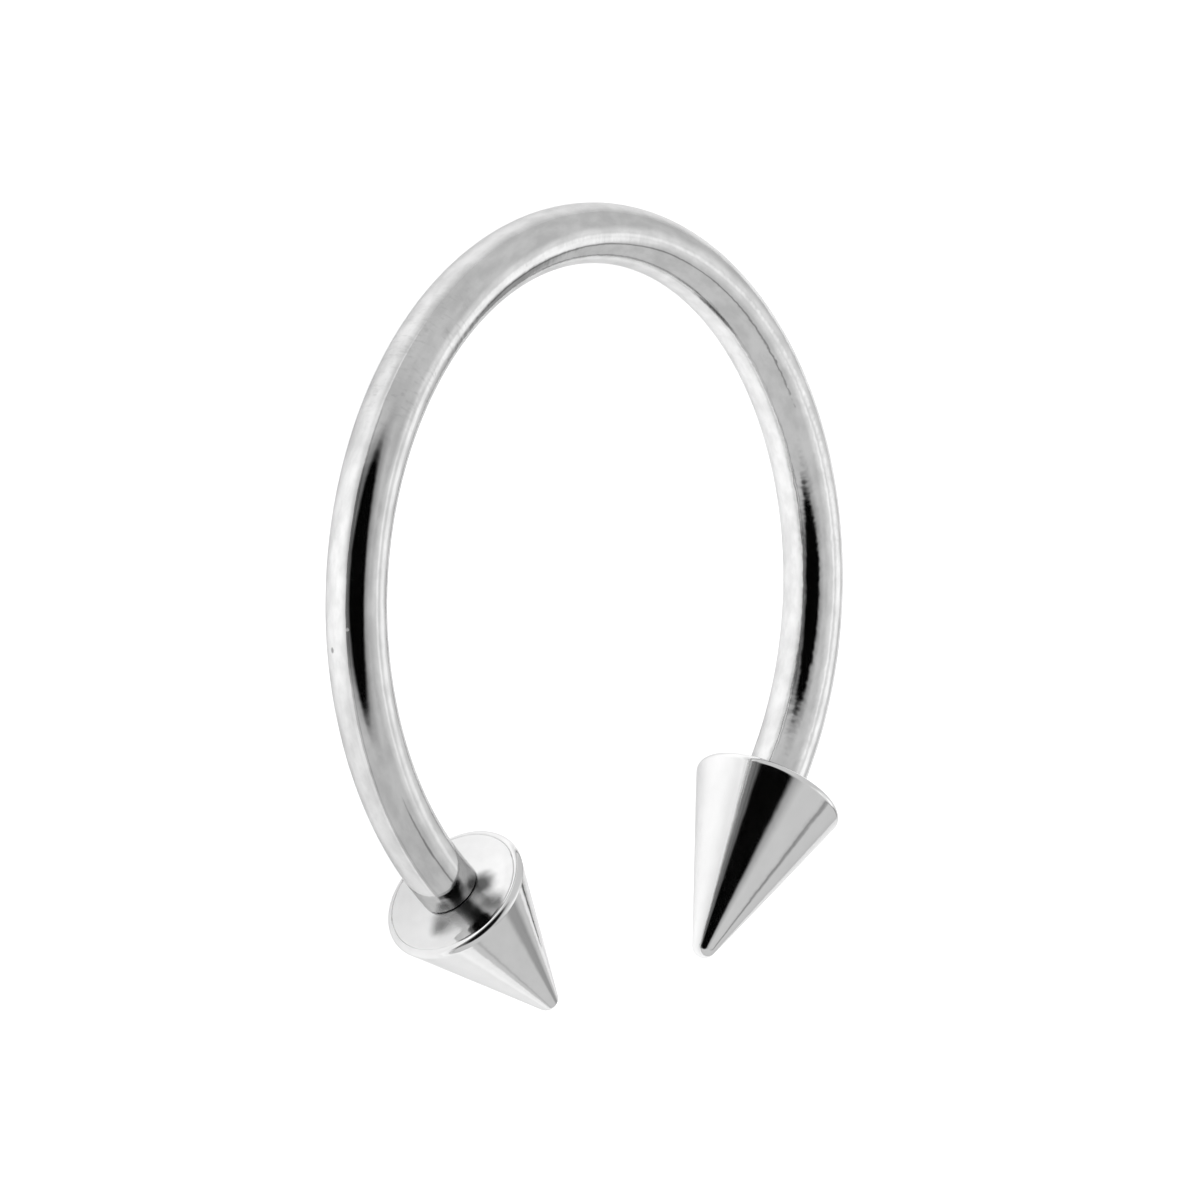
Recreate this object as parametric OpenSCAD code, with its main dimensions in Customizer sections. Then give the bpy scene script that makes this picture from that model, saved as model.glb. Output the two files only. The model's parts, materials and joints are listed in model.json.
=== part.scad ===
// Horseshoe barbell: a bent steel bar with a screw-on cone at each end.
// It lies on its side on the plane z = 0, on the bow and on the rims of both cones.
// The bow points along +Y, the opening along -Y, and the origin is under the middle of its box.

/* [Bar] */
// Thickness of the round wire
wire_d = 1.2; // [1.1:0.05:1.6]
// Width of the space inside the ring
inner_d = 12.8; // [10:0.1:16]
// Angle between the two ends of the bend, seen from the ring's centre
opening_angle = 94; // [80:1:110]
// Length of the straight shoulder at each end of the bend
shoulder_l = 0.15; // [0.1:0.01:0.3]
// How much the shoulders are ground down all round
shoulder_cut = 0.015; // [0.01:0.001:0.03]

/* [Threaded posts] */
// Width of each post, over its thread
post_d = 1; // [0.8:0.02:1]
// Length of each post beyond its shoulder
post_l = 2; // [1.5:0.05:2.2]
// Bevel at the end of each post
post_bevel = 0.12; // [0.05:0.01:0.2]

/* [Cones] */
// Width of each cone at its rim
cone_d = 3; // [2.6:0.1:4]
// Length of each cone from the edge of its base face to its tip
cone_l = 3.85; // [3:0.05:5]
// Rounding of the rim
rim_r = 0.12; // [0.08:0.01:0.18]
// Rounding of the tip
tip_r = 0.25; // [0.12:0.01:0.3]
// Height of the raised middle of the base face, where the seat is
boss_h = 0.1; // [0.05:0.01:0.2]
// Width of the raised middle where it meets the flat of the base face
boss_d = 2.1; // [1.8:0.05:2.2]

/* [Fit] */
// Gap all round between a post and its hole
post_gap = 0.03; // [0.02:0.01:0.06]
// Gap between each shoulder and its seat on the cone
seat_gap = 0.02; // [0.01:0.01:0.05]
// Depth of each hole beyond the end of its post
hole_spare = 0.15; // [0.1:0.05:0.3]
// Bevel at the mouth of each hole
mouth_bevel = 0.03; // [0.01:0.01:0.04]

/* [Hidden] */

LEFT = -1;
RIGHT = 1;
$fn = 96;

// Bar
wire_r = wire_d / 2;
bend_r = inner_d / 2 + wire_r;
half_open = opening_angle / 2;

// How far each shoulder and post reach back into the bend, which makes them one solid
root = 0.2;
shoulder_r = wire_r - shoulder_cut;
post_r = post_d / 2;
post_end = shoulder_l + post_l;

// Cone, with Z = 0 at its seat and Z running to its tip
cone_r = cone_d / 2;
hole_r = post_r + post_gap;
hole_l = post_l - seat_gap + hole_spare;
seat_r = wire_r + seat_gap;
face_r = cone_r - rim_r;
boss_r = boss_d / 2;
// Middles of the rim's and the tip's rounding, and the direction square to the flank that touches both
rim_mid = [face_r, boss_h + rim_r];
tip_mid = [0, boss_h + cone_l - tip_r];
flank = tip_mid - rim_mid;
flank_out = atan2(flank.y, flank.x) - acos((rim_r - tip_r) / norm(flank));
outward = [cos(flank_out), sin(flank_out)];

// Places along a post's axis, from the end of the bend
seat_at = shoulder_l + seat_gap;
rim_at = seat_at + rim_mid.y;
tip_at = seat_at + tip_mid.y;

// The ring leans about X until the bow and both rims touch the plane. The lean's sine s solves
// (reach * s + wire_r - rim_r)^2 = face_r^2 * (1 - (sin(half_open) * s)^2)
reach = bend_r + back(rim_at);
quad_a = pow(reach, 2) + pow(face_r * sin(half_open), 2);
quad_b = reach * (wire_r - rim_r);
quad_c = pow(wire_r - rim_r, 2) - pow(face_r, 2);
lean = asin((sqrt(quad_b * quad_b - quad_a * quad_c) - quad_b) / quad_a);
lift = bend_r * sin(lean) + wire_r;

// Box of the leaning ring along Y
bow_y = bend_r * cos(lean) + wire_r;
tip_y = back(tip_at) * cos(lean) + tip_r;

// How far a point on a post's axis lies behind the ring's middle
function back(along) = bend_r * cos(half_open) + along * sin(half_open);

// Lays down a ring that is drawn flat round the origin
module lay_down() {
    translate([0, (tip_y - bow_y) / 2, lift])
        rotate([-lean, 0, 0])
            children();
}

// Puts children at one end of the bend, with Z running out along the post
module at_end(side) {
    rotate([0, 0, side * half_open - 90])
        translate([bend_r, 0, 0])
            rotate([side * 90, 0, 0])
                children();
}

// The bend of the wire
module bend() {
    rotate([0, 0, half_open - 90])
        rotate_extrude(angle = 360 - opening_angle)
            translate([bend_r, 0])
                circle(r = wire_r);
}

// Straight shoulder, and a threaded post with a bevel at its end, turned from one half section
module post() {
    rotate_extrude()
        polygon([
            [0, -root],
            [shoulder_r, -root],
            [shoulder_r, shoulder_l],
            [post_r, shoulder_l],
            [post_r, post_end - post_bevel],
            [post_r - post_bevel, post_end],
            [0, post_end]
        ]);
}

// Half section of a cone: raised seat, flat base face, rounded rim, straight flank and rounded tip
module cone_section() {
    polygon([
        [0, 0],
        [seat_r, 0],
        [boss_r, boss_h],
        [face_r, boss_h],
        rim_mid,
        rim_mid + rim_r * outward,
        tip_mid + tip_r * outward,
        tip_mid
    ]);
    translate(rim_mid)
        circle(r = rim_r);
    intersection() {
        translate(tip_mid)
            circle(r = tip_r);
        square([cone_r, tip_mid.y + tip_r]);
    }
}

// Hole for a post, with a bevel at its mouth
module post_hole() {
    cylinder(r = hole_r, h = hole_l);
    cylinder(r1 = hole_r + mouth_bevel, r2 = hole_r, h = mouth_bevel);
}

// Screw-on cone, seated on a shoulder
module screw_cone(side) {
    lay_down()
        at_end(side)
            translate([0, 0, seat_at])
                difference() {
                    rotate_extrude()
                        cone_section();
                    post_hole();
                }
}

module bar() {
    color("silver")
        lay_down() {
            bend();
            at_end(LEFT) post();
            at_end(RIGHT) post();
        }
}

module left_cone() {
    color("gainsboro") screw_cone(LEFT);
}

module right_cone() {
    color("gainsboro") screw_cone(RIGHT);
}

bar();
left_cone();
right_cone();
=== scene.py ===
"""Horseshoe barbell of polished surgical steel, lying on its side on a pale table.

The ring, its bar and cones, the finishes, the studio and the camera are each a class. Sizes are in
metres, and the ring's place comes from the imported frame.
"""

from __future__ import annotations

import json
import logging
import math
from dataclasses import dataclass
from enum import Enum
from typing import Any

import bpy
import numpy as np
from mathutils import Matrix, Vector

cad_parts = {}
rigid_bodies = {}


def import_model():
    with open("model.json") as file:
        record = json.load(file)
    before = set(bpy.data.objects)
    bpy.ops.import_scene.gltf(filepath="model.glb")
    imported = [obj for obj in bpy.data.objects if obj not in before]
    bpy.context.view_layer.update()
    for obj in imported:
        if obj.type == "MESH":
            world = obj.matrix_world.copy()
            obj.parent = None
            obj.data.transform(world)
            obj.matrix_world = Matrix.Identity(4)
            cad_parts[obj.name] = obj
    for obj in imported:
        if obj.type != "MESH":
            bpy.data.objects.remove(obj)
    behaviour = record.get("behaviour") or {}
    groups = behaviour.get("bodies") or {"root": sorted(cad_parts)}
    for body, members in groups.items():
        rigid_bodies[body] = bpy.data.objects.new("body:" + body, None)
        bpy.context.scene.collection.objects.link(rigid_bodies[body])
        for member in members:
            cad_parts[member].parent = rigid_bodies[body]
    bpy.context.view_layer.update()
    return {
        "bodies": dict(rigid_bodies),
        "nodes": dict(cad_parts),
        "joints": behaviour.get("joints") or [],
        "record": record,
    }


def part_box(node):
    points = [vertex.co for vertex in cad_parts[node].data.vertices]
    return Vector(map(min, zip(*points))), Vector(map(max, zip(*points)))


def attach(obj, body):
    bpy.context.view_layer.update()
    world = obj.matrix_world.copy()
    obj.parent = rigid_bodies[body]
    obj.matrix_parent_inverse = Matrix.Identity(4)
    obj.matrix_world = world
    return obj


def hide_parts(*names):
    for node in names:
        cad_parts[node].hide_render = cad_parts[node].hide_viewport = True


LOG = logging.getLogger("horseshoe_barbell")
UNBENT_PLACE = "unbent_place"

MM = 0.001
FULL_TURN = 2 * math.pi
ACROSS = Vector((1, 0, 0))
ONWARD = Vector((0, 1, 0))
UP = Vector((0, 0, 1))

WIRE_R = 0.6 * MM
SHOULDER_L = 0.15 * MM
FACE_SPOT_H = 0.08 * MM
CREASE_ANGLE = math.radians(32)
GRAZING_TINT = 0.74
SIDE_ON = 0.05

Triple = tuple[float, float, float]
Colour = tuple[float, float, float, float]


class Side(Enum):
    """The two ends of the horseshoe, with their sign along X."""

    LEFT = -1
    RIGHT = 1

    @property
    def word(self) -> str:
        """The side's name in node and piece names."""
        return self.name.lower()


class Surface(Enum):
    """How a band of a piece was left, with its place among the piece's materials."""

    POLISHED = 0
    CUT = 1


class Signal:
    """One output of a shader's node, on which Python's operators add Math nodes."""

    def __init__(self, graph: Graph, socket: bpy.types.NodeSocket) -> None:
        """Wraps a socket of a graph.

        Args:
            graph: The graph that the socket's node is in.
            socket: The output socket.
        """
        self.graph = graph
        self.socket = socket

    def __add__(self, other: Value) -> Signal:
        """Sum."""
        return self.graph.math("ADD", self, other)

    __radd__ = __add__

    def __sub__(self, other: Value) -> Signal:
        """Difference."""
        return self.graph.math("SUBTRACT", self, other)

    def __rsub__(self, other: Value) -> Signal:
        """Difference, with the signal on the right."""
        return self.graph.math("SUBTRACT", other, self)

    def __mul__(self, other: Value) -> Signal:
        """Product."""
        return self.graph.math("MULTIPLY", self, other)

    __rmul__ = __mul__

    def __truediv__(self, other: Value) -> Signal:
        """Quotient."""
        return self.graph.math("DIVIDE", self, other)

    def __rtruediv__(self, other: Value) -> Signal:
        """Quotient, with the signal on the right."""
        return self.graph.math("DIVIDE", other, self)

    def __pow__(self, other: Value) -> Signal:
        """Power."""
        return self.graph.math("POWER", self, other)

    def __abs__(self) -> Signal:
        """Size without its sign."""
        return self.graph.math("ABSOLUTE", self)

    def at_least(self, low: Value) -> Signal:
        """The signal, or low where that is more."""
        return self.graph.math("MAXIMUM", self, low)

    def above(self, threshold: Value) -> Signal:
        """One where the signal is more than the threshold, and zero elsewhere."""
        return self.graph.math("GREATER_THAN", self, threshold)

    def rise(self, low: float, high: float) -> Signal:
        """Climbs smoothly from 0 at low to 1 at high.

        Args:
            low: Where the climb starts.
            high: Where it ends. A high under low makes a fall.

        Returns:
            The eased signal.
        """
        down = high < low
        ends = (high, low) if down else (low, high)
        eased = self.graph.node(
            "ShaderNodeMapRange",
            {"interpolation_type": "SMOOTHSTEP"},
            {"Value": self, "From Min": ends[0], "From Max": ends[1]},
        )
        return 1 - eased if down else eased


Value = Signal | float


class Graph:
    """A shader's node tree, filled from empty."""

    def __init__(self, tree: bpy.types.NodeTree) -> None:
        """Empties a node tree.

        Args:
            tree: The tree of a material or of the world.
        """
        self.tree = tree
        tree.nodes.clear()

    def node(
        self,
        kind: str,
        settings: dict[str, Any] | None = None,
        inputs: dict[str | int, Any] | None = None,
        output: str | int = 0,
    ) -> Signal:
        """Adds a node.

        Args:
            kind: The node's type.
            settings: Its properties, which are set first.
            inputs: Values, or signals to link, by the name or place of the node's input.
            output: The name or place of the output that is wanted.

        Returns:
            The wanted output, or the first input of a node that ends the graph.
        """
        made = self.tree.nodes.new(kind)
        for name, value in (settings or {}).items():
            setattr(made, name, value)
        for key, value in (inputs or {}).items():
            if isinstance(value, Signal):
                self.tree.links.new(value.socket, made.inputs[key])
            else:
                made.inputs[key].default_value = value
        return Signal(self, made.outputs[output] if made.outputs else made.inputs[0])

    def math(self, operation: str, *values: Value) -> Signal:
        """Adds a Math node for an operation on values."""
        return self.node("ShaderNodeMath", {"operation": operation}, dict(enumerate(values)))

    def vector(self, operation: str, *vectors: Signal | Triple) -> Signal:
        """Adds a Vector Math node for an operation on vectors, with a vector as its result."""
        return self.node("ShaderNodeVectorMath", {"operation": operation}, dict(enumerate(vectors)))

    def along(self, vector: Signal, axis: Vector) -> Signal:
        """How far a vector reaches along an axis."""
        inputs = {0: vector, 1: tuple(axis)}
        return self.node("ShaderNodeVectorMath", {"operation": "DOT_PRODUCT"}, inputs, "Value")

    def length(self, vector: Signal) -> Signal:
        """A vector's length."""
        return self.node("ShaderNodeVectorMath", {"operation": "LENGTH"}, {0: vector}, "Value")

    def unbent_place(self) -> Signal:
        """Where on the piece, before it was bent or placed, in metres."""
        return self.node("ShaderNodeAttribute", {"attribute_name": UNBENT_PLACE}, None, "Vector")

    def noise(self, place: Signal, size: Triple, detail: float = 2.0) -> Signal:
        """Cloudy noise from 0 to 1.

        Args:
            place: Where on the piece, in metres.
            size: Size of one cloud along each axis of the place, in metres.
            detail: How many finer layers lie on the first.

        Returns:
            The noise.
        """
        scaled = self.vector("MULTIPLY", place, tuple(1 / s for s in size))
        return self.node("ShaderNodeTexNoise", None, {"Vector": scaled, "Scale": 1.0, "Detail": detail})

    def noise_vector(self, place: Signal, size: Triple) -> Signal:
        """Cloudy noise with a vector as its result, each part of it from about -0.5 to 0.5."""
        scaled = self.vector("MULTIPLY", place, tuple(1 / s for s in size))
        noise = self.node("ShaderNodeTexNoise", None, {"Vector": scaled, "Scale": 1.0}, "Color")
        return self.vector("SUBTRACT", noise, (0.5, 0.5, 0.5))

    def mix_colours(self, share: Value, first: Signal | Colour, second: Signal | Colour) -> Signal:
        """Blends two colours by a share."""
        inputs = {"Factor": share, "A": first, "B": second}
        return self.node("ShaderNodeMix", {"data_type": "RGBA"}, inputs, "Result")

    def bump(self, height: Signal) -> Signal:
        """The normal that a height in metres leaves on a surface."""
        return self.node("ShaderNodeBump", None, {"Strength": 1.0, "Distance": 1.0, "Height": height})


def grey(level: float) -> Colour:
    """A neutral grey of a level, with full alpha."""
    return (level, level, level, 1.0)


def cube(size: float) -> Triple:
    """The same size along every axis, from millimetres."""
    return (size * MM, size * MM, size * MM)


def on_wire(along: float, turn: float) -> Triple:
    """A place on the unbent wire, by millimetres along it and degrees round it."""
    angle = math.radians(turn)
    return (along * MM, WIRE_R * math.cos(angle), WIRE_R * math.sin(angle))


def on_face(out: float, turn: float) -> Triple:
    """A place on a cone's base face, by millimetres from its axis and degrees round it."""
    angle = math.radians(turn)
    return (out * MM * math.cos(angle), out * MM * math.sin(angle), FACE_SPOT_H)


@dataclass(frozen=True)
class Relief:
    """One kind of unevenness in a surface.

    The size is that of one mark along each axis of the unbent piece, and the height that of the
    tallest marks.
    """

    size: Triple
    height: float
    detail: float = 2.0

    def over(self, graph: Graph, place: Signal, share: Value = 1.0) -> Signal:
        """Its height at a place, times a share."""
        return graph.noise(place, self.size, self.detail) * share * self.height


@dataclass(frozen=True)
class Mark:
    """A small mark on a piece, darker or rougher inside: a real nick or rough dot, or a spot or line of
    painted shade or painted reflection.
    """

    centre: Triple
    half_size: Triple
    softness: float
    # Share of the colour taken away inside; in some marks this is painted shade or painted reflection.
    dulling: float
    roughening: float

    def cover(self, graph: Graph, place: Signal) -> Signal:
        """How much of the mark lies at a place.

        Args:
            graph: The material's graph.
            place: Where on the piece, in metres.

        Returns:
            One inside the mark, fading to 0 outside.
        """
        apart = graph.vector("SUBTRACT", place, self.centre)
        reach = graph.length(graph.vector("DIVIDE", apart, self.half_size))
        return reach.rise(1 + self.softness, 1 - self.softness)


def marked(
    graph: Graph, place: Signal, marks: tuple[Mark, ...], within: Value, shade: Signal, roughness: Signal
) -> tuple[Signal, Signal]:
    """Lays marks over a finish.

    Args:
        graph: The material's graph.
        place: Where on the piece, in metres.
        marks: The marks.
        within: One where marks can lie, and 0 elsewhere.
        shade: The metal's brightness without them.
        roughness: Its roughness without them.

    Returns:
        The brightness and the roughness with the marks.
    """
    for mark in marks:
        cover = mark.cover(graph, place) * within
        shade = shade * (1 - cover * mark.dulling)
        roughness = roughness + cover * mark.roughening
    return shade, roughness


@dataclass(frozen=True)
class PolishedWire:
    """Drawn, bent and polished steel wire, with painted shade that darkens its first stretch."""

    level: float = 0.68
    dimmest: float = 0.9
    cloudiness: float = 0.18
    cloud_size: Triple = (0.6 * MM, 0.3 * MM, 0.3 * MM)
    # Painted shade: the wire's first stretch, by the left cone, is darker by this share.
    film: float = 0.08
    film_end: float = 15 * MM
    roughness: float = 0.07
    patchiness: float = 0.05
    patch_size: Triple = (2.2 * MM, 0.8 * MM, 0.8 * MM)
    draw_lines: Relief = Relief((3 * MM, 0.04 * MM, 0.04 * MM), 0.0001 * MM)
    facets: Relief = Relief((9 * MM, 0.2 * MM, 0.2 * MM), 0.0022 * MM, 1.0)
    bend_ribs: Relief = Relief((0.12 * MM, 0.5 * MM, 0.5 * MM), 0.0035 * MM, 1.0)
    ribs_from: tuple[float, float] = (9.4 * MM, 12.4 * MM)
    ribs_to: tuple[float, float] = (20 * MM, 14 * MM)
    least_ribs: float = 0.06
    grain: Relief = Relief(cube(0.2), 0.0042 * MM, 1.0)
    grain_from: tuple[float, float] = (19 * MM, 24 * MM)
    least_grain: float = 0.2
    waves: Relief = Relief(cube(0.5), 0.004 * MM)
    hatch_size: Triple = (0.07 * MM, 0.22 * MM, 0.22 * MM)
    hatch_from: tuple[float, float] = (9.2 * MM, 10.4 * MM)
    hatch_to: tuple[float, float] = (13.5 * MM, 12 * MM)
    hatch_dulling: float = 0.13
    hatch_roughening: float = 0.1
    bright_dot: Mark = Mark(on_wire(5.91, 22.9), cube(0.028), 0.4, 0.0, 0.75)
    nick: Mark = Mark(on_wire(5.53, -14.8), (0.05 * MM, 0.04 * MM, 0.04 * MM), 0.4, 0.55, 0.2)
    # Painted reflection: a thin dark line on the right limb that lengthens the dark streak the camera hood
    # leaves in the steel, with a little roughness.
    scratch: Mark = Mark(on_wire(21.5, 153.6), (0.62 * MM, 0.03 * MM, 0.03 * MM), 0.8, 0.75, 0.1)

    def material(self) -> bpy.types.Material:
        """Makes the finish.

        Returns:
            A material whose marks follow the wire.
        """
        made, graph = new_material("polished_wire")
        place = graph.unbent_place()
        along = graph.along(place, ACROSS)
        hatched = self.hatching(graph, place, along)
        # Painted shade darkens the first stretch of the wire.
        unshaded = 1 - along.rise(self.film_end, self.film_end / 2) * self.film
        cloudy = graph.noise(place, self.cloud_size, 4.0).rise(0.3, 0.7)
        shade = unshaded * (self.level * self.dimmest) + cloudy * (self.level * self.cloudiness)
        shade = shade * (1 - hatched * self.hatch_dulling)
        patches = graph.noise(place, self.patch_size)
        roughness = patches * self.patchiness + (self.roughness - self.patchiness / 2)
        roughness = roughness + hatched * self.hatch_roughening
        marks = (self.bright_dot, self.nick, self.scratch)
        shade, roughness = marked(graph, place, marks, 1.0, shade, roughness)
        finish_metal(graph, shade, roughness, graph.bump(self.relief(graph, place, along)))
        return made

    def relief(self, graph: Graph, place: Signal, along: Signal) -> Signal:
        """Works out what drawing, bending and polishing left standing.

        Args:
            graph: The material's graph.
            place: Where on the unbent wire.
            along: The place along the wire.

        Returns:
            The height, in metres.
        """
        ribbed = along.rise(*self.ribs_from) * along.rise(*self.ribs_to) + self.least_ribs
        grained = along.rise(*self.grain_from) + self.least_grain
        return (
            self.draw_lines.over(graph, place)
            + self.facets.over(graph, place)
            + self.bend_ribs.over(graph, place, ribbed)
            + self.grain.over(graph, place, grained)
            + self.waves.over(graph, place)
        )

    def hatching(self, graph: Graph, place: Signal, along: Signal) -> Signal:
        """Finds the fine cross marks that the bending tool pressed in before the bow.

        Args:
            graph: The material's graph.
            place: Where on the unbent wire.
            along: The place along the wire.

        Returns:
            One in the marks, and 0 elsewhere.
        """
        marks = graph.noise(place, self.hatch_size, 3.0).rise(0.5, 0.75)
        return marks * along.rise(*self.hatch_from) * along.rise(*self.hatch_to)


@dataclass(frozen=True)
class TurnedSteel:
    """Cone steel, turned on a lathe and mirror polished, with dark spots of painted shade and painted
    reflection round the hole.
    """

    level: float = 0.76
    cloudiness: float = 0.12
    cloud_size: Triple = (0.3 * MM, 0.3 * MM, 0.6 * MM)
    roughness: float = 0.08
    patchiness: float = 0.06
    middle_roughening: float = 0.03
    waves: Relief = Relief(cube(0.45), 0.003 * MM)
    face_dents: Relief = Relief(cube(0.5), 0.006 * MM, 1.0)
    turning_pitch: float = 0.035 * MM
    turning_height: float = 0.00012 * MM
    face_end: tuple[float, float] = (0.16 * MM, 0.11 * MM)
    middle_end: tuple[float, float] = (1.25 * MM, 1.0 * MM)
    frayed_size: Triple = cube(0.4)
    frayed_by: Triple = cube(0.22)
    # Painted shade and painted reflection: dark, rougher spots round the hole where the wire meets the
    # face, standing for the gap's shade and the wire's mirror image.
    dull_spots: tuple[Mark, ...] = (
        Mark(on_face(0.7, -104), cube(0.26), 0.6, 0.85, 0.15),
        Mark(on_face(0.86, -12), cube(0.2), 0.8, 0.6, 0.15),
        Mark(on_face(0.72, -30), cube(0.32), 0.9, 0.45, 0.1),
        Mark(on_face(1.1, -82), cube(0.2), 0.8, 0.55, 0.1),
    )

    def material(self) -> bpy.types.Material:
        """Makes the finish.

        Returns:
            A material with faint turning marks, and dark spots of painted shade and painted reflection
            with frayed edges.
        """
        made, graph = new_material("turned_steel")
        place = graph.unbent_place()
        out = graph.length(graph.vector("MULTIPLY", place, (1, 1, 0)))
        face = graph.along(place, UP).rise(*self.face_end)
        middle = face * out.rise(*self.middle_end)
        frayed = graph.vector("MULTIPLY", graph.noise_vector(place, self.frayed_size), self.frayed_by)
        frayed = graph.vector("ADD", place, frayed)
        cloudy = graph.noise(place, self.cloud_size, 4.0)
        shade = cloudy * (self.level * self.cloudiness) + self.level * (1 - self.cloudiness / 2)
        roughness = cloudy * self.patchiness + (self.roughness - self.patchiness / 2)
        roughness = roughness + middle * self.middle_roughening
        # Lays the spots of painted shade and reflection on the face.
        shade, roughness = marked(graph, frayed, self.dull_spots, face, shade, roughness)
        height = (
            self.waves.over(graph, place)
            + self.turning(graph, out)
            + self.face_dents.over(graph, place, middle)
        )
        finish_metal(graph, shade, roughness, graph.bump(height))
        return made

    def turning(self, graph: Graph, out: Signal) -> Signal:
        """Works out the rings that the lathe left.

        Args:
            graph: The material's graph.
            out: The place's distance from the cone's axis.

        Returns:
            Their height, in metres.
        """
        inputs = {"W": out / self.turning_pitch, "Scale": 1.0, "Detail": 2.0}
        rings = graph.node("ShaderNodeTexNoise", {"noise_dimensions": "1D"}, inputs)
        return rings * self.turning_height


@dataclass(frozen=True)
class CutThread:
    """Cut steel of the threads and holes, duller than what is polished."""

    level: float = 0.5
    roughness: float = 0.28
    patchiness: float = 0.2
    tool_mark: Triple = (0.02 * MM, 0.2 * MM, 0.2 * MM)
    tool_mark_height: float = 0.002 * MM

    def material(self) -> bpy.types.Material:
        """Makes the finish.

        Returns:
            A material with tool marks.
        """
        made, graph = new_material("cut_thread")
        marks = graph.noise(graph.unbent_place(), self.tool_mark)
        roughness = marks * self.patchiness + (self.roughness - self.patchiness / 2)
        finish_metal(graph, grey(self.level), roughness, graph.bump(marks * self.tool_mark_height))
        return made


def new_material(name: str) -> tuple[bpy.types.Material, Graph]:
    """Makes an empty material.

    Args:
        name: Its name.

    Returns:
        The material and its graph.
    """
    made = bpy.data.materials.new(name)
    made.use_nodes = True
    return made, Graph(made.node_tree)


def finish_metal(graph: Graph, colour: Signal | Colour, roughness: Value, normal: Signal) -> None:
    """Ends a graph in bare steel, which gives back less light at a grazing angle than a pure mirror.

    Args:
        graph: The graph to end.
        colour: The metal's colour.
        roughness: Its roughness.
        normal: The normal that its marks leave.
    """
    inputs = {
        "Base Color": colour,
        "Metallic": 1.0,
        "Roughness": roughness,
        "Specular Tint": grey(GRAZING_TINT),
        "Normal": normal,
    }
    surface = graph.node("ShaderNodeBsdfPrincipled", None, inputs)
    graph.node("ShaderNodeOutputMaterial", None, {"Surface": surface})


class Skin:
    """A mesh laid over closed rings of points, each ring with as many points."""

    def __init__(self) -> None:
        """Starts with no ring."""
        self.points: list[np.ndarray] = []
        self.places: list[np.ndarray] = []
        self.surfaces: list[int] = []

    def ring(self, points: np.ndarray, places: np.ndarray, surface: Surface) -> None:
        """Adds a ring.

        Args:
            points: Where its points are, one row each.
            places: The same points on the piece before it was bent or placed.
            surface: How the band up to the next ring was left.
        """
        self.points.append(points)
        self.places.append(places)
        self.surfaces.append(surface.value)

    def faces(self) -> tuple[list[tuple[int, ...]], list[int]]:
        """Lays a band of faces between each two rings, and a fan over each end.

        Returns:
            The faces by the numbers of their points, and the material that each has.
        """
        count, around = len(self.points), len(self.points[0])
        step = np.arange(around)
        following = (step + 1) % around
        faces: list[tuple[int, ...]] = []
        slots: list[int] = []
        for i in range(count - 1):
            low, high = i * around, (i + 1) * around
            faces += zip(low + step, low + following, high + following, high + step)
            slots += [self.surfaces[i]] * around
        last, first_middle = (count - 1) * around, count * around
        faces += zip(following, step, [first_middle] * around)
        faces += zip(last + step, last + following, [first_middle + 1] * around)
        slots += [self.surfaces[0]] * around + [self.surfaces[-1]] * around
        return [tuple(int(v) for v in face) for face in faces], slots

    def piece(self, name: str, materials: list[bpy.types.Material]) -> bpy.types.Object:
        """Makes the piece.

        Args:
            name: The piece's name.
            materials: Its materials, one for each kind of surface.

        Returns:
            The piece.
        """
        faces, slots = self.faces()
        points = np.vstack([*self.points, self.points[0].mean(0), self.points[-1].mean(0)])
        places = np.vstack([*self.places, self.places[0].mean(0), self.places[-1].mean(0)])
        mesh = bpy.data.meshes.new(name)
        mesh.from_pydata(points.tolist(), [], faces)
        for material in materials:
            mesh.materials.append(material)
        mesh.polygons.foreach_set("material_index", slots)
        attribute = mesh.attributes.new(UNBENT_PLACE, "FLOAT_VECTOR", "POINT")
        attribute.data.foreach_set("vector", places.astype(np.float32).ravel())
        mesh.shade_smooth()
        mesh.set_sharp_from_angle(angle=CREASE_ANGLE)
        mesh.validate()
        made = bpy.data.objects.new(name, mesh)
        bpy.context.scene.collection.objects.link(made)
        return made


@dataclass(frozen=True)
class Horseshoe:
    """The ring that the bar and cones share, as it leans on the table.

    Drawn flat, its bow points along +Y and its posts end at the lower left and right.
    """

    bend_r: float
    half_open: float
    lean: float
    centre: Vector

    @classmethod
    def from_frame(cls, frame: dict[str, Any]) -> Horseshoe:
        """Reads the ring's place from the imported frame.


        Returns:
            The ring.
        """
        joint = next(j for j in frame["joints"] if j["child"] == "left_cone")
        outward = Vector(joint["axis"]).normalized()
        low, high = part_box("bar")
        bend_r = (high.x - low.x) / 2 - WIRE_R
        lean = math.atan2(outward.z, -outward.y)
        centre = Vector((0, high.y - WIRE_R - bend_r * math.cos(lean), bend_r * math.sin(lean) + WIRE_R))
        return cls(bend_r, math.acos(outward.x), lean, centre)

    @property
    def matrix(self) -> Matrix:
        """Takes the flat ring to where it lies."""
        return Matrix.Translation(self.centre) @ Matrix.Rotation(-self.lean, 4, "X")

    @property
    def bent_l(self) -> float:
        """Length of the bend along its middle line."""
        return 2 * (math.pi - self.half_open) * self.bend_r

    def end(self, side: Side) -> Matrix:
        """The frame of a post.

        Args:
            side: Which end of the horseshoe.

        Returns:
            A matrix that takes Z = 0 to the end of the bend and +Z out along the post, with +X away
            from the ring's centre.
        """
        turn = Matrix.Rotation(side.value * self.half_open - math.pi / 2, 4, "Z")
        out = Matrix.Translation((self.bend_r, 0, 0)) @ Matrix.Rotation(side.value * math.pi / 2, 4, "X")
        return self.matrix @ turn @ out


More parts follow.
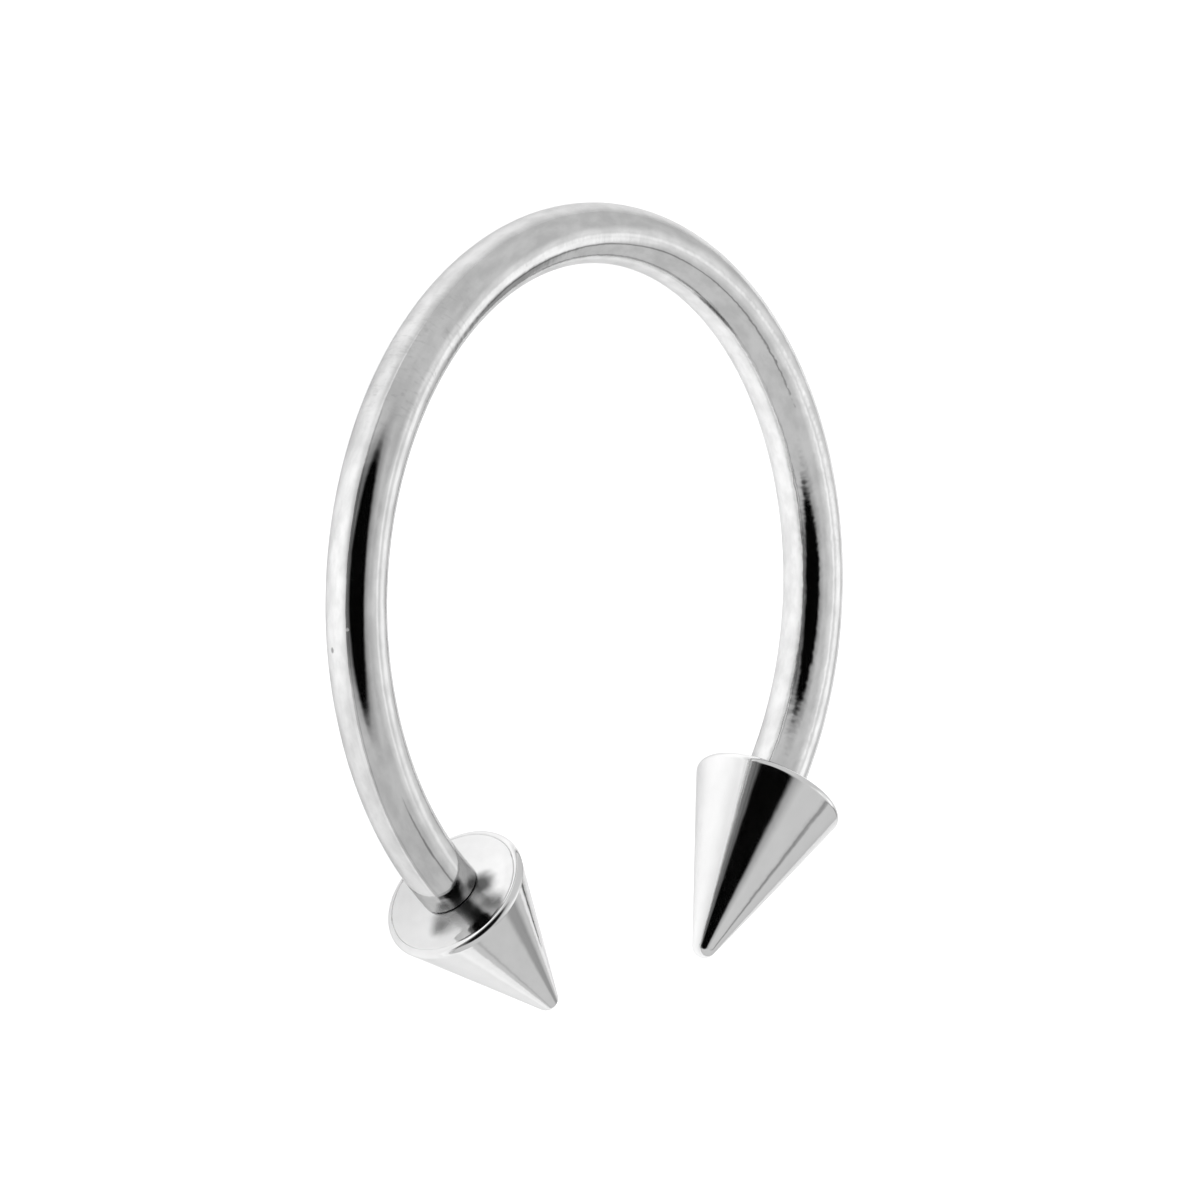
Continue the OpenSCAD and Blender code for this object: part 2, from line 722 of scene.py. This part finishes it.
def placed(matrix: Matrix, points: np.ndarray) -> np.ndarray:
    """Moves points by a matrix.

    Args:
        matrix: The 4 by 4 matrix.
        points: One point in each row.

    Returns:
        The moved points.
    """
    full = np.array(matrix)
    return points @ full[:3, :3].T + full[:3, 3]


def full_circle(count: int) -> np.ndarray:
    """Angles all round, evenly spaced."""
    return np.linspace(0, FULL_TURN, count, endpoint=False)


@dataclass(frozen=True)
class Thread:
    """Fine screw thread."""

    pitch: float = 0.25 * MM
    depth: float = 0.14 * MM
    flat: float = 0.12

    def height(self, along: float, turn: np.ndarray) -> np.ndarray:
        """Height of a right-hand thread over its root.

        Args:
            along: Place along the screw.
            turn: Angles round the screw.

        Returns:
            The height at each angle.
        """
        phase = (along / self.pitch - turn / FULL_TURN) % 1.0
        ridge = 1 - np.abs(2 * phase - 1)
        return self.depth * np.clip((ridge - self.flat) / (1 - 2 * self.flat), 0, 1)


@dataclass(frozen=True)
class Bar:
    """The bent wire with a threaded post at each end."""

    shoe: Horseshoe
    post_r: float = 0.5 * MM
    post_l: float = 2.0 * MM
    post_bevel: float = 0.12 * MM
    edge_break: float = 0.015 * MM
    run_out: float = 0.15 * MM
    thread: Thread = Thread()
    around: int = 72
    along: int = 480
    rings_per_thread: int = 12

    @property
    def name(self) -> str:
        """The piece's name."""
        return "polished_bar"

    @property
    def root_r(self) -> float:
        """Radius at the root of the thread."""
        return self.post_r - self.thread.depth

    def build(self) -> bpy.types.Object:
        """Builds the bar from the left post's tip, through the bow, to the right post's tip.

        Returns:
            The dressed piece.
        """
        skin = Skin()
        bent = self.shoe.bent_l
        post, shoulder = self.post_stations(), self.shoulder_stations()
        for beyond, radius in reversed(post):
            self.lay(skin, -beyond, radius, Surface.CUT)
        for beyond, radius in reversed(shoulder):
            self.lay(skin, -beyond, radius, Surface.POLISHED)
        for place in np.linspace(0, bent, self.along):
            self.lay(skin, place, WIRE_R, Surface.POLISHED)
        for beyond, radius in shoulder:
            self.lay(skin, bent + beyond, radius, Surface.POLISHED)
        for beyond, radius in post:
            self.lay(skin, bent + beyond, radius, Surface.CUT)
        return skin.piece(self.name, [PolishedWire().material(), CutThread().material()])

    def shoulder_stations(self) -> list[tuple[float, float]]:
        """Places beyond the bend on a shoulder's broken edge, each with the radius there."""
        return [(SHOULDER_L - self.edge_break, WIRE_R), (SHOULDER_L, WIRE_R - self.edge_break)]

    def post_stations(self) -> list[tuple[float, float]]:
        """Places beyond the bend on a post, each with the greatest radius that the thread has there."""
        steps = round(self.post_l / self.thread.pitch * self.rings_per_thread)
        stations = [(SHOULDER_L, self.root_r)]
        for along in np.linspace(self.post_l / steps, self.post_l, steps):
            bevelled = self.post_r - max(0.0, along - (self.post_l - self.post_bevel))
            stations.append((SHOULDER_L + float(along), bevelled))
        return stations

    def lay(self, skin: Skin, place: float, radius: float, surface: Surface) -> None:
        """Lays one ring of the skin.

        Args:
            skin: The skin to add to.
            place: Place along the unbent bar from the left end of the bend, less than 0 before it.
            radius: Radius of the ring, or the greatest radius of a thread.
            surface: How the band that follows was left.
        """
        turn = full_circle(self.around)
        on_bend = min(max(place, 0.0), self.shoe.bent_l)
        beyond = place - on_bend
        angle = 1.5 * math.pi - self.shoe.half_open - on_bend / self.shoe.bend_r
        outward = np.array([math.cos(angle), math.sin(angle), 0])
        forward = np.array([math.sin(angle), -math.cos(angle), 0])
        radii = np.full(self.around, radius)
        if surface is Surface.CUT:
            fade = min(1.0, (abs(beyond) - SHOULDER_L) / self.run_out)
            radii = np.minimum(self.root_r + self.thread.height(place, turn) * fade, radius)
        sideways, upward = radii * np.cos(turn), radii * np.sin(turn)
        middle = self.shoe.bend_r * outward + beyond * forward
        ring = middle + np.outer(sideways, outward) + np.outer(upward, UP)
        unbent = np.column_stack([np.full(self.around, place), sideways, upward])
        skin.ring(placed(self.shoe.matrix, ring), unbent, surface)


@dataclass(frozen=True)
class Cone:
    """A spike that screws on to a post."""

    shoe: Horseshoe
    side: Side
    cone_r: float = 1.5 * MM
    cone_l: float = 3.85 * MM
    rim_r: float = 0.12 * MM
    tip_r: float = 0.25 * MM
    boss_h: float = 0.1 * MM
    boss_r: float = 1.2 * MM
    boss_bow: float = 1.3
    groove_w: float = 0.03 * MM
    groove_depth: float = 0.012 * MM
    seat_r: float = 0.62 * MM
    seat_gap: float = 0.02 * MM
    hole_r: float = 0.53 * MM
    hole_l: float = 2.13 * MM
    mouth_bevel: float = 0.03 * MM
    fan_share: float = 0.02
    edge_share: float = 0.002
    around: int = 192
    boss_rings: int = 24
    face_rings: int = 6
    rim_rings: int = 20
    flank_rings: int = 28
    tip_rings: int = 16

    @property
    def name(self) -> str:
        """The piece's name."""
        return f"polished_{self.side.word}_cone"

    @property
    def face_r(self) -> float:
        """Radius at which the base face turns into the rim."""
        return self.cone_r - self.rim_r

    @property
    def rim_z(self) -> float:
        """Height of the middle of the rim's rounding over the seat."""
        return self.boss_h + self.rim_r

    @property
    def tip_z(self) -> float:
        """Height of the middle of the tip's rounding over the seat."""
        return self.boss_h + self.cone_l - self.tip_r

    @property
    def flank_out(self) -> float:
        """Angle of the direction square to the flank."""
        rise = self.tip_z - self.rim_z
        slope = math.atan2(rise, -self.face_r)
        return slope - math.acos((self.rim_r - self.tip_r) / math.hypot(rise, self.face_r))

    def build(self) -> bpy.types.Object:
        """Turns the cone's section about its axis.

        Returns:
            The dressed piece.
        """
        skin = Skin()
        turn = full_circle(self.around)
        matrix = self.shoe.end(self.side) @ Matrix.Translation((0, 0, SHOULDER_L + self.seat_gap))
        outside = self.face_section() + self.rim_section() + self.flank_section()
        for surface, section in ((Surface.CUT, self.hole_section()), (Surface.POLISHED, outside)):
            for radius, height in section:
                flat = (radius * np.cos(turn), radius * np.sin(turn))
                ring = np.column_stack([*flat, np.full(self.around, height)])
                skin.ring(placed(matrix, ring), ring, surface)
        return skin.piece(self.name, [TurnedSteel().material(), CutThread().material()])

    def hole_section(self) -> list[tuple[float, float]]:
        """Radius and height along the hole, from its bottom to its mouth."""
        return [
            (self.hole_r * self.fan_share, self.hole_l),
            (self.hole_r * (1 - self.fan_share), self.hole_l - self.hole_r * self.fan_share),
            (self.hole_r, self.hole_l - self.hole_r * 2 * self.fan_share),
            (self.hole_r, self.hole_l / 2),
            (self.hole_r, self.mouth_bevel),
        ]

    def face_section(self) -> list[tuple[float, float]]:
        """Radius and height from the hole's mouth over the raised middle to the turned line."""
        section = [(self.hole_r + self.mouth_bevel, 0.0), (self.seat_r, 0.0)]
        for r in np.linspace(self.seat_r, self.boss_r, self.boss_rings)[1:]:
            inward = (self.boss_r - r) / (self.boss_r - self.seat_r)
            section.append((float(r), self.boss_h * (1 - inward**self.boss_bow)))
        for r in np.linspace(self.boss_r, self.face_r - self.groove_w, self.face_rings)[1:]:
            section.append((float(r), self.boss_h))
        section.append((self.face_r - self.groove_w / 2, self.boss_h + self.groove_depth))
        return section

    def rim_section(self) -> list[tuple[float, float]]:
        """Radius and height round the rim."""
        angles = np.linspace(-math.pi / 2, self.flank_out, self.rim_rings)[1:]
        rounding = [
            (self.face_r + self.rim_r * math.cos(a), self.rim_z + self.rim_r * math.sin(a)) for a in angles
        ]
        return [(self.face_r, self.boss_h), *rounding]

    def flank_section(self) -> list[tuple[float, float]]:
        """Radius and height from the rim up the flank and over the tip."""
        out = self.flank_out
        low = (self.face_r + self.rim_r * math.cos(out), self.rim_z + self.rim_r * math.sin(out))
        high = (self.tip_r * math.cos(out), self.tip_z + self.tip_r * math.sin(out))
        shares = (self.edge_share, *np.linspace(0, 1, self.flank_rings)[1:-1], 1 - self.edge_share)
        flank = [tuple(a + (b - a) * share for a, b in zip(low, high)) for share in shares]
        angles = np.linspace(out, math.pi / 2, self.tip_rings)[:-1]
        tip = [(self.tip_r * math.cos(a), self.tip_z + self.tip_r * math.sin(a)) for a in angles]
        return [*flank, *tip, (self.tip_r * self.fan_share, self.tip_z + self.tip_r)]


def heading(azimuth: float, elevation: float) -> Vector:
    """The direction at an azimuth from +Y towards +X and an elevation, both in degrees."""
    around, up = math.radians(azimuth), math.radians(elevation)
    return Vector((math.sin(around) * math.cos(up), math.cos(around) * math.cos(up), math.sin(up)))


@dataclass(frozen=True)
class TentPanel:
    """A lighter or darker round part of the light tent, as seen from the object, in degrees."""

    azimuth: float
    elevation: float
    half_width: float
    half_height: float
    level: float
    softness: float

    def over(self, graph: Graph, direction: Signal, behind: Value) -> Signal:
        """Lays the panel over what is behind it.

        Args:
            graph: The world's graph.
            direction: Where a ray goes.
            behind: The light level behind the panel.

        Returns:
            The light level with the panel.
        """
        facing = heading(self.azimuth, self.elevation)
        across = facing.cross(UP).normalized()
        upward = across.cross(facing)
        ahead = graph.along(direction, facing)
        depth = ahead.at_least(SIDE_ON)
        width, height = math.tan(math.radians(self.half_width)), math.tan(math.radians(self.half_height))
        sideways = abs(graph.along(direction, across) / depth / width)
        heightwise = abs(graph.along(direction, upward) / depth / height)
        reach = (sideways**2.0 + heightwise**2.0) ** 0.5
        share = reach.rise(1 + self.softness, 1 - self.softness) * ahead.above(1.2 * SIDE_ON)
        return behind + share * (self.level - behind)


@dataclass(frozen=True)
class TentSeam:
    """A seam of the tent's cloth, a thin darker line between two headings in degrees."""

    start: tuple[float, float]
    end: tuple[float, float]
    half_width: float
    darkening: float
    waviness: float = 0.05
    crease_size: float = 0.12
    end_fade: float = 0.04

    def over(self, graph: Graph, direction: Signal, behind: Value) -> Signal:
        """Lays the seam over what is behind it.

        Args:
            graph: The world's graph.
            direction: Where a ray goes.
            behind: The light level behind the seam.

        Returns:
            The light level with the seam.
        """
        first, last = heading(*self.start), heading(*self.end)
        pole = first.cross(last).normalized()
        middle = (first + last).normalized()
        half_length = middle.dot(first)
        crease = graph.noise(direction, (self.crease_size,) * 3) * self.waviness - self.waviness / 2
        off = abs(graph.along(direction, pole) + crease) / math.sin(math.radians(self.half_width))
        ends = (half_length - self.end_fade, half_length + self.end_fade)
        inside = graph.along(direction, middle).rise(*ends)
        return behind * (1 - off.rise(1, 0) * inside * self.darkening)


@dataclass(frozen=True)
class RoundCloth:
    """A patch of black cloth on a card, round or with round corners, soft by a share of its size."""

    centre: tuple[float, float]
    half_size: tuple[float, float]
    softness: float
    squareness: float
    density: float

    def cover(self, graph: Graph, place: Signal) -> Signal:
        """How much light the patch stops.

        Args:
            graph: The cloth's graph.
            place: Where on the card, in metres.

        Returns:
            Its density inside, fading to 0 outside.
        """
        sideways = abs((graph.along(place, ACROSS) - self.centre[0]) / self.half_size[0])
        heightwise = abs((graph.along(place, ONWARD) - self.centre[1]) / self.half_size[1])
        reach = (sideways**self.squareness + heightwise**self.squareness) ** (1 / self.squareness)
        return reach.rise(1 + self.softness, 1 - self.softness) * self.density


@dataclass(frozen=True)
class SquareCloth:
    """A rectangle of painted shade on a card, dark with soft edges of one width."""

    low: tuple[float, float]
    high: tuple[float, float]
    edge: float
    density: float

    def cover(self, graph: Graph, place: Signal) -> Signal:
        """How much painted shade the patch lays.

        Args:
            graph: The card's graph.
            place: Where on the card, in metres.

        Returns:
            Its density inside, fading to 0 outside.
        """
        half = self.edge / 2
        sideways, upward = graph.along(place, ACROSS), graph.along(place, ONWARD)
        inside = sideways.rise(self.low[0] - half, self.low[0] + half)
        inside = inside * sideways.rise(self.high[0] + half, self.high[0] - half)
        inside = inside * upward.rise(self.low[1] - half, self.low[1] + half)
        return inside * upward.rise(self.high[1] + half, self.high[1] - half) * self.density


def square_mesh(name: str, half: float, material: bpy.types.Material) -> bpy.types.Object:
    """Makes a flat square and puts it on the stage.

    Args:
        name: Its name.
        half: Half the length of a side.
        material: What it is made of.

    Returns:
        The square, with its middle at the origin and its face along Z.
    """
    mesh = bpy.data.meshes.new(name)
    corners = [(-half, -half, 0), (half, -half, 0), (half, half, 0), (-half, half, 0)]
    mesh.from_pydata(corners, [], [(0, 1, 2, 3)])
    mesh.materials.append(material)
    made = bpy.data.objects.new(name, mesh)
    bpy.context.scene.collection.objects.link(made)
    return made


@dataclass(frozen=True)
class Card:
    """A clear card with dark patches, which the steel mirrors and the camera doesn't see: black cloth
    round the lens, or painted shade over the table.
    """

    name: str
    half_size: float
    patches: tuple[RoundCloth | SquareCloth, ...]

    def place(self, matrix: Matrix) -> None:
        """Sets up the card.

        Args:
            matrix: Where it stands, with its face along Z.
        """
        card = square_mesh(self.name, self.half_size, self.cloth())
        card.matrix_world = matrix
        card.visible_camera = False
        card.visible_shadow = False
        card.visible_diffuse = False

    def cloth(self) -> bpy.types.Material:
        """Makes the card's material, clear outside its dark patches.

        Returns:
            The material of the whole card.
        """
        made, graph = new_material(f"{self.name}_cloth")
        place = graph.node("ShaderNodeTexCoord", None, None, "Object")
        clear: Value = 1.0
        for patch in self.patches:
            clear = (1 - patch.cover(graph, place)) * clear
        inputs = {"Base Color": grey(0.0), "Roughness": 1.0, "Specular IOR Level": 0.0, "Alpha": 1 - clear}
        surface = graph.node("ShaderNodeBsdfPrincipled", None, inputs)
        graph.node("ShaderNodeOutputMaterial", None, {"Surface": surface})
        return made


@dataclass(frozen=True)
class BacklitTable:
    """Pale glossy plastic, lit from below, and a little more so beside the left of the ring."""

    glow: float = 0.68
    palest: float = 0.9
    least_pale: float = 0.88
    cloud_size: Triple = cube(20)
    roughness: float = 0.5
    gloss: float = 0.6
    gloss_roughness: float = 0.1
    brighter_by: float = 0.25
    brighter_left_of: tuple[float, float] = (-6.8 * MM, -8.4 * MM)
    brighter_after: tuple[float, float] = (-3 * MM, 0.0)
    brighter_before: tuple[float, float] = (7 * MM, 4 * MM)

    def material(self) -> bpy.types.Material:
        """Makes the finish.

        Returns:
            A material that glows white.
        """
        made, graph = new_material("backlit_table")
        place = graph.node("ShaderNodeNewGeometry", None, None, "Position")
        sideways, onward = graph.along(place, ACROSS), graph.along(place, ONWARD)
        brighter = sideways.rise(*self.brighter_left_of)
        brighter = brighter * onward.rise(*self.brighter_after) * onward.rise(*self.brighter_before)
        cloud = graph.noise(place, self.cloud_size)
        inputs = {
            "Base Color": graph.mix_colours(cloud, grey(self.least_pale), grey(self.palest)),
            "Roughness": self.roughness,
            "Coat Weight": self.gloss,
            "Coat Roughness": self.gloss_roughness,
            "Emission Color": brighter * self.brighter_by + 1,
            "Emission Strength": self.glow,
        }
        surface = graph.node("ShaderNodeBsdfPrincipled", None, inputs)
        graph.node("ShaderNodeOutputMaterial", None, {"Surface": surface})
        return made


@dataclass(frozen=True)
class Studio:
    """Back-lit pale table, light tent with the camera's hood, and one soft lamp overhead."""

    wall: float = 0.72
    side_lights: tuple[TentPanel, ...] = (
        TentPanel(99, 41, 16, 40, 0.97, 0.5),
        TentPanel(111, 31, 8, 9, 1.3, 0.5),
        TentPanel(101, 30, 4.5, 12, 1.35, 0.6),
        TentPanel(98, 57, 7, 5, 1.25, 0.6),
    )
    fold_shade: TentPanel = TentPanel(118, 11, 6, 14, 0.42, 0.5)
    wall_seam: TentSeam = TentSeam((114, 12), (178, 64), 3.2, 0.6, 0.1)
    hems: tuple[TentSeam, ...] = (
        TentSeam((137, 4), (-135, 6), 1.8, 0.3),
        TentSeam((-135, 6), (-31, 4), 1.8, 0.55),
    )
    hood_heading: tuple[float, float] = (-75.7, 40.4)
    hood_distance: float = 99 * MM
    hood: Card = Card(
        "camera_hood",
        150 * MM,
        (
            RoundCloth((6 * MM, -60 * MM), (66 * MM, 118 * MM), 0.35, 3.8, 0.7),
            RoundCloth((1.4 * MM, -5 * MM), (63 * MM, 51 * MM), 0.19, 1.8, 1.0),
        ),
    )
    # Painted shade: dark sheets lying on the table, seen only in the steel's reflections, stand for the
    # table's shade beyond the bow, inside the ring and beside the cones.
    flag_height: float = 0.01 * MM
    flag: Card = Card(
        "table_flag",
        1.0,
        (
            SquareCloth((-10 * MM, 7.5 * MM), (0.9, 0.9), 6 * MM, 0.22),
            SquareCloth((-14 * MM, -16 * MM), (2 * MM, -0.5 * MM), 5 * MM, 0.14),
            SquareCloth((4 * MM, -10.5 * MM), (9.5 * MM, -3 * MM), 2 * MM, 0.15),
            SquareCloth((-6.5 * MM, 0.8 * MM), (3.8 * MM, 6.2 * MM), 2.5 * MM, 0.16),
        ),
    )
    table_size: float = 4.0
    lamp_size: float = 0.5
    lamp_height: float = 0.6
    lamp_power: float = 0.5

    def build(self) -> None:
        """Builds the table, the tent, the cards and the lamp."""
        bpy.context.scene.view_settings.view_transform = "Standard"
        square_mesh("table", self.table_size / 2, BacklitTable().material())
        self.tent()
        self.cards()
        self.lamp()

    def tent(self) -> None:
        """The tent's walls all round, drawn in the world."""
        world = bpy.data.worlds.new("light_tent")
        world.use_nodes = True
        bpy.context.scene.world = world
        graph = Graph(world.node_tree)
        direction = graph.node("ShaderNodeTexCoord", None, None, "Generated")
        level: Value = self.wall
        for part in (*self.side_lights, self.fold_shade, self.wall_seam, *self.hems):
            level = part.over(graph, direction, level)
        light = graph.node("ShaderNodeBackground", None, {"Color": level, "Strength": 1.0})
        graph.node("ShaderNodeOutputWorld", None, {"Surface": light})

    def cards(self) -> None:
        """Black cloth round the camera's lens, and dark sheets of painted shade over parts of the table,
        which only the steel sees.
        """
        facing = heading(*self.hood_heading)
        across = facing.cross(UP).normalized()
        turn = Matrix((across, across.cross(facing), -facing)).transposed()
        self.hood.place(Matrix.Translation(facing * self.hood_distance) @ turn.to_4x4())
        # The second card lays painted shade on the table, seen only in the steel.
        self.flag.place(Matrix.Translation((0, 0, self.flag_height)))

    def lamp(self) -> None:
        """A soft lamp overhead, which lights the table and isn't mirrored in the steel."""
        light = bpy.data.lights.new("overhead", "AREA")
        light.size = self.lamp_size
        light.energy = self.lamp_power
        lamp = bpy.data.objects.new("overhead", light)
        lamp.location = (0, 0, self.lamp_height)
        lamp.visible_glossy = False
        bpy.context.scene.collection.objects.link(lamp)


@dataclass(frozen=True)
class PhotoCamera:
    """The camera at the photo's viewing angle, in degrees and metres."""

    azimuth: float = 105.917
    down: float = 38.427
    roll: float = -97.825
    distance: float = 0.334056
    aim: Triple = (0.654 * MM, -0.206 * MM, 0.864 * MM)
    lens: float = 512.09
    sensor: float = 36.0
    clip: tuple[float, float] = (0.01, 20.0)

    def build(self) -> None:
        """Places the camera and makes it the scene's."""
        forward = heading(self.azimuth, -self.down)
        level_right = forward.cross(UP).normalized()
        level_up = level_right.cross(forward)
        roll = math.radians(self.roll)
        right = level_right * math.cos(roll) - level_up * math.sin(roll)
        up = right.cross(forward)
        data = bpy.data.cameras.new("photo_camera")
        data.lens = self.lens
        data.sensor_width = self.sensor
        data.clip_start, data.clip_end = self.clip
        camera = bpy.data.objects.new("photo_camera", data)
        turn = Matrix((right, up, -forward)).transposed()
        eye = Vector(self.aim) - forward * self.distance
        camera.matrix_world = Matrix.Translation(eye) @ turn.to_4x4()
        bpy.context.scene.collection.objects.link(camera)
        bpy.context.scene.camera = camera


def show(piece: bpy.types.Object, body: str, node: str) -> None:
    """Tells the frame what a piece stands for.

    Args:
        piece: The piece.
        body: The body that it moves with.
        node: The node that it replaces.
    """
    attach(piece, body)
    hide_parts(node)
    LOG.info("%s: %d faces, on body %s", piece.name, len(piece.data.polygons), body)


def main() -> None:
    """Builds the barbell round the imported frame, with its studio and camera."""
    logging.basicConfig(level=logging.INFO, format="%(name)s: %(message)s")
    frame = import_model()
    PhotoCamera().build()
    Studio().build()
    shoe = Horseshoe.from_frame(frame)
    show(Bar(shoe).build(), "bar", "bar")
    for side in Side:
        node = f"{side.word}_cone"
        show(Cone(shoe, side).build(), node, node)
    bpy.context.view_layer.update()


if __name__ == "__main__":
    main()
